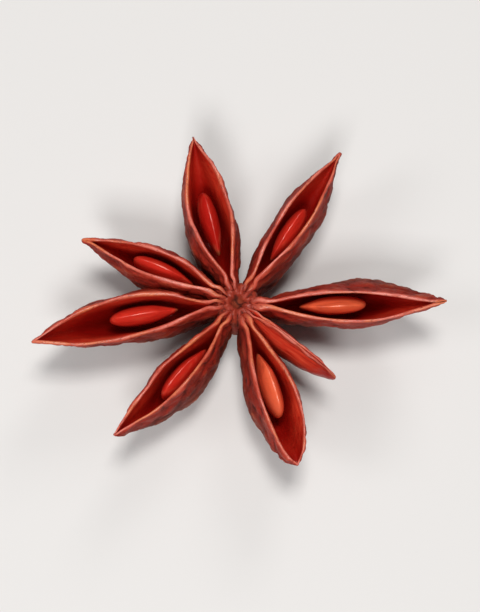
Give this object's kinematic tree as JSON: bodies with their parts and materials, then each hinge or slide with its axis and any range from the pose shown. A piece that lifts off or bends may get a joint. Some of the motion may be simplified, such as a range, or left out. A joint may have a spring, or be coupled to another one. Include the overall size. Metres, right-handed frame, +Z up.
{
  "type": "star anise pod",
  "caption": "Dried star-shaped spice fruit: boat-shaped carpels round a short stalk, most split along the top with a glossy seed inside.",
  "frame": {"origin": "on the surface the fruit lies on, under the column where the carpels meet", "axes": "+Z up through the column, on the split side; +X along the long carpel opposite the widest one"},
  "size_m": [0.0347, 0.0286, 0.0078],
  "materials": {
    "husk": "dry husk, dark and wrinkled outside, smooth and satin red-brown inside, paler along the split",
    "seed": "polished chestnut seed coat"
  },
  "bodies": {
    "root": {"pod": "husk", "seed_east": "seed", "seed_northeast": "seed", "seed_north": "seed", "seed_northwest": "seed", "seed_west": "seed", "seed_southwest": "seed", "seed_south": "seed"}
  },
  "joints": []
}
